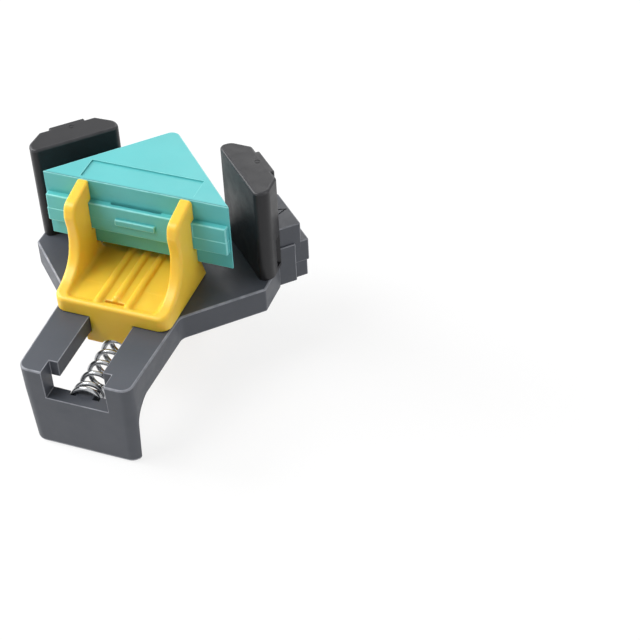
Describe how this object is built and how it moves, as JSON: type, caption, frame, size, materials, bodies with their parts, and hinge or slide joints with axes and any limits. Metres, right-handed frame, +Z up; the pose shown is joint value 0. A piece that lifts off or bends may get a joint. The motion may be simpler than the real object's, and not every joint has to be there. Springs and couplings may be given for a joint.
{
  "type": "corner clamp",
  "caption": "One-hand spring corner clamp with a grey base, black jaws, a yellow sliding carriage and a turquoise right-angle block",
  "frame": {"origin": "under the middle of the clamp's box, on the bench", "axes": "+X across the jaws, +Y the way the corner points, +Z up from the bench"},
  "size_m": [0.1316, 0.1244, 0.0926],
  "materials": {
    "grey_plastic": "satin moulded",
    "black_plastic": "satin moulded",
    "yellow_plastic": "satin moulded",
    "turquoise_plastic": "satin moulded",
    "spring_steel": "bright drawn wire"
  },
  "bodies": {
    "base": {"base_frame": "grey_plastic", "jaw_left": "black_plastic", "jaw_right": "black_plastic", "jaw_keeper_left": "grey_plastic", "jaw_keeper_right": "grey_plastic", "return_spring": "spring_steel"},
    "carriage": {"carriage": "yellow_plastic", "finger_grip": "yellow_plastic", "grip_screws": "spring_steel"},
    "block": {"corner_block": "turquoise_plastic"}
  },
  "joints": [
    {"name": "carriage_slide", "type": "slide", "parent": "base", "child": "carriage", "axis": [0, 1, 0], "range_m": [-0.018, 0], "stiffness_N_per_m": 1500, "springref_m": 0.012, "deforming": ["return_spring"]},
    {"name": "block_slide", "type": "slide", "parent": "carriage", "child": "block", "axis": [1, 0, 0], "range_m": [-0.0115, 0.0115]}
  ]
}
